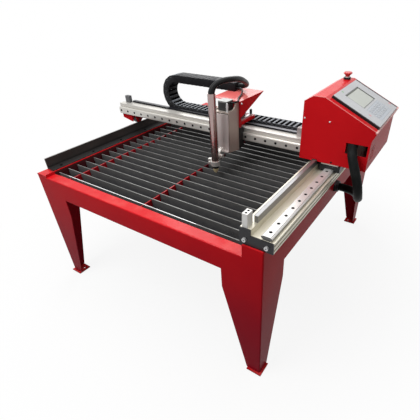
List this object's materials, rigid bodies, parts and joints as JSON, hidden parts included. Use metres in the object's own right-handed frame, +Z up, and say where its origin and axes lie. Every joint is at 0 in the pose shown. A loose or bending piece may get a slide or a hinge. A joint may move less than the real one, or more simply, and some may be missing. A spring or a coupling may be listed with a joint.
{
  "type": "cnc plasma table",
  "caption": "Plasma cutting table: slatted bench on tapered legs, rack-driven gantry with a control console, drag chain and a torch on a motor lifter.",
  "frame": {"origin": "floor level, under the middle of the object's box, leads left out", "axes": "+X to the machine's right along the beam, +Y to the back along the side rails, +Z up"},
  "size_m": [1.658, 1.524, 1.1665],
  "materials": {
    "red_paint": "satin powder coat",
    "dark_steel": "mill scale",
    "pale_aluminium": "anodised",
    "bright_steel": "ground",
    "polished_steel": "polished",
    "black_metal": "satin",
    "black_plastic": "moulded",
    "black_rubber": "matte",
    "panel_grey": "satin",
    "key_grey": "moulded",
    "screen_glass": "gloss",
    "stop_red": "gloss",
    "brass": "turned"
  },
  "bodies": {
    "frame": {"front_rail": "red_paint", "rear_rail": "red_paint", "left_rail": "red_paint", "right_rail": "red_paint", "leg_front_left": "red_paint", "leg_front_right": "red_paint", "leg_rear_left": "red_paint", "leg_rear_right": "red_paint", "slats": "dark_steel", "slat_supports": "red_paint", "slag_tray": "dark_steel", "track_angle": "dark_steel", "y_extrusion": "pale_aluminium", "y_guide": "bright_steel", "y_rack": "bright_steel", "y_end_plates": "black_metal", "y_stops": "pale_aluminium", "rail_screws": "bright_steel", "rail_gland": "black_plastic"},
    "gantry": {"y_bearings": "black_metal", "gantry_base": "pale_aluminium", "beam": "pale_aluminium", "x_guide": "bright_steel", "x_rack": "black_metal", "x_stops": "pale_aluminium", "gantry_screws": "bright_steel", "roller_fork": "red_paint", "console_front": "red_paint", "console_back": "red_paint", "console_wrap": "red_paint", "control_panel": "panel_grey", "panel_screen": "screen_glass", "panel_keys": "key_grey", "estop_base": "black_plastic", "y_motor": "black_metal", "drive_units": "pale_aluminium", "chain_lower": "black_plastic", "supply_lead": "black_rubber"},
    "carriage": {"chain_upper": "black_plastic", "x_bearings": "black_metal", "carriage_plate": "dark_steel", "motor_plate": "red_paint", "x_motor": "black_metal", "chain_cover": "red_paint", "lifter_housing": "pale_aluminium", "z_motor": "black_metal", "motor_cable": "black_rubber"},
    "torch_lift": {"lift_plate": "pale_aluminium", "torch_holder": "bright_steel", "torch_tube": "polished_steel", "torch_head": "black_plastic", "torch_tip": "brass", "torch_lead": "black_rubber"},
    "y_pinion": {"y_pinion": "bright_steel"},
    "track_roller": {"track_roller": "black_plastic"},
    "x_pinion": {"x_pinion": "bright_steel"},
    "chain_bend": {"chain_bend": "black_plastic"},
    "z_screw": {"z_screw": "bright_steel"},
    "stop_button": {"estop_button": "stop_red"},
    "engage_lever": {"engage_lever": "bright_steel"}
  },
  "joints": [
    {"name": "gantry_y", "type": "slide", "parent": "frame", "child": "gantry", "axis": [0, 1, 0], "range_m": [-0.54, 0.45], "deforming": ["supply_lead"]},
    {"name": "carriage_x", "type": "slide", "parent": "gantry", "child": "carriage", "axis": [1, 0, 0], "range_m": [-0.74, 0.27], "deforming": ["chain_lower", "chain_upper"]},
    {"name": "torch_z", "type": "slide", "parent": "carriage", "child": "torch_lift", "axis": [0, 0, 1], "range_m": [-0.008, 0.09], "deforming": ["torch_lead"]},
    {"name": "y_pinion_turn", "type": "hinge", "parent": "gantry", "child": "y_pinion", "pos_m": [0.557, 0.148, 0.829], "axis": [0, 0, 1], "range_deg": [-1438, 1724]},
    {"name": "roller_turn", "type": "hinge", "parent": "gantry", "child": "track_roller", "pos_m": [-0.725, -0.012, 0.7803], "axis": [1, 0, 0], "range_deg": [-1295, 1552]},
    {"name": "x_pinion_turn", "type": "hinge", "parent": "carriage", "child": "x_pinion", "pos_m": [0.081, -0.008, 0.891], "axis": [0, 0, 1], "range_deg": [-2361, 865]},
    {"name": "chain_roll", "type": "slide", "parent": "gantry", "child": "chain_bend", "axis": [1, 0, 0], "range_m": [-0.38, 0.145]},
    {"name": "screw_turn", "type": "hinge", "parent": "carriage", "child": "z_screw", "pos_m": [0.096, -0.152, 0.9], "axis": [0, 0, 1], "range_deg": [-581, 6485]},
    {"name": "stop_press", "type": "slide", "parent": "gantry", "child": "stop_button", "axis": [0, 0, 1], "range_m": [-0.006, 0], "stiffness_N_per_m": 1500},
    {"name": "lever_swing", "type": "hinge", "parent": "carriage", "child": "engage_lever", "pos_m": [0.13, -0.07, 0.915], "axis": [0, 0, 1], "range_deg": [-55, 0]}
  ],
  "couplings": [
    {"joint": "y_pinion_turn", "follows": "gantry_y", "rad_per_m": -55.556},
    {"joint": "roller_turn", "follows": "gantry_y", "rad_per_m": -50},
    {"joint": "x_pinion_turn", "follows": "carriage_x", "rad_per_m": 55.556},
    {"joint": "chain_roll", "follows": "carriage_x", "ratio": 0.5},
    {"joint": "screw_turn", "follows": "torch_z", "rad_per_m": 1256.6}
  ]
}
